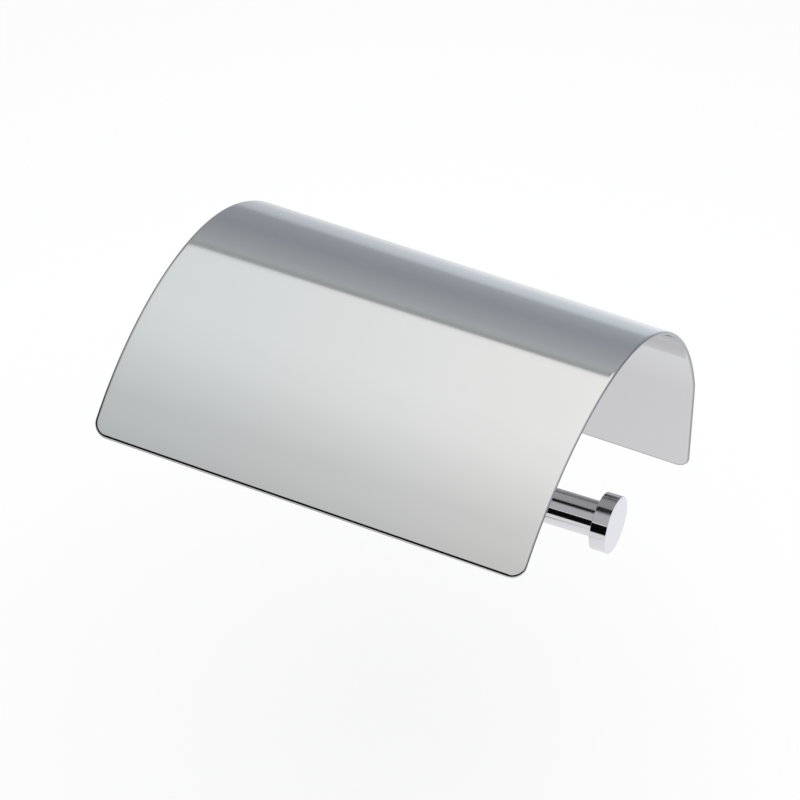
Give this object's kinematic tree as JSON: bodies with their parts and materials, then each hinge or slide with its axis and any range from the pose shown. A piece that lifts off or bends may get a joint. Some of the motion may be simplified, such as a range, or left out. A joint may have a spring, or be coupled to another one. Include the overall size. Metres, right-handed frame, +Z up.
{
  "type": "toilet paper holder",
  "caption": "Wall-mounted toilet paper holder: a curved satin steel cover arches over a chrome pin that is held at its left end and ends in a round knob.",
  "frame": {"origin": "centre of the wall plate's back face, which lies on the wall", "axes": "+X along the wall to the pin's free end, +Y into the wall, +Z up; the wall is the plane Y = 0"},
  "size_m": [0.13, 0.1619, 0.1099],
  "materials": {
    "satin_steel": "satin brushed stainless steel sheet",
    "plated_steel": "dull zinc plating",
    "chrome": "polished chrome plating",
    "screw_steel": "plain stainless steel",
    "nylon": "white nylon"
  },
  "bodies": {
    "root": {"cover_sheet": "satin_steel", "wall_plate": "plated_steel", "post": "chrome", "roll_pin": "chrome", "knob": "chrome", "knob_stud": "screw_steel", "pin_set_screw": "screw_steel", "post_screw_left": "screw_steel", "post_screw_right": "screw_steel", "wall_screw_left": "screw_steel", "wall_screw_right": "screw_steel", "screw_washer_left": "nylon", "screw_washer_right": "nylon"}
  },
  "joints": []
}
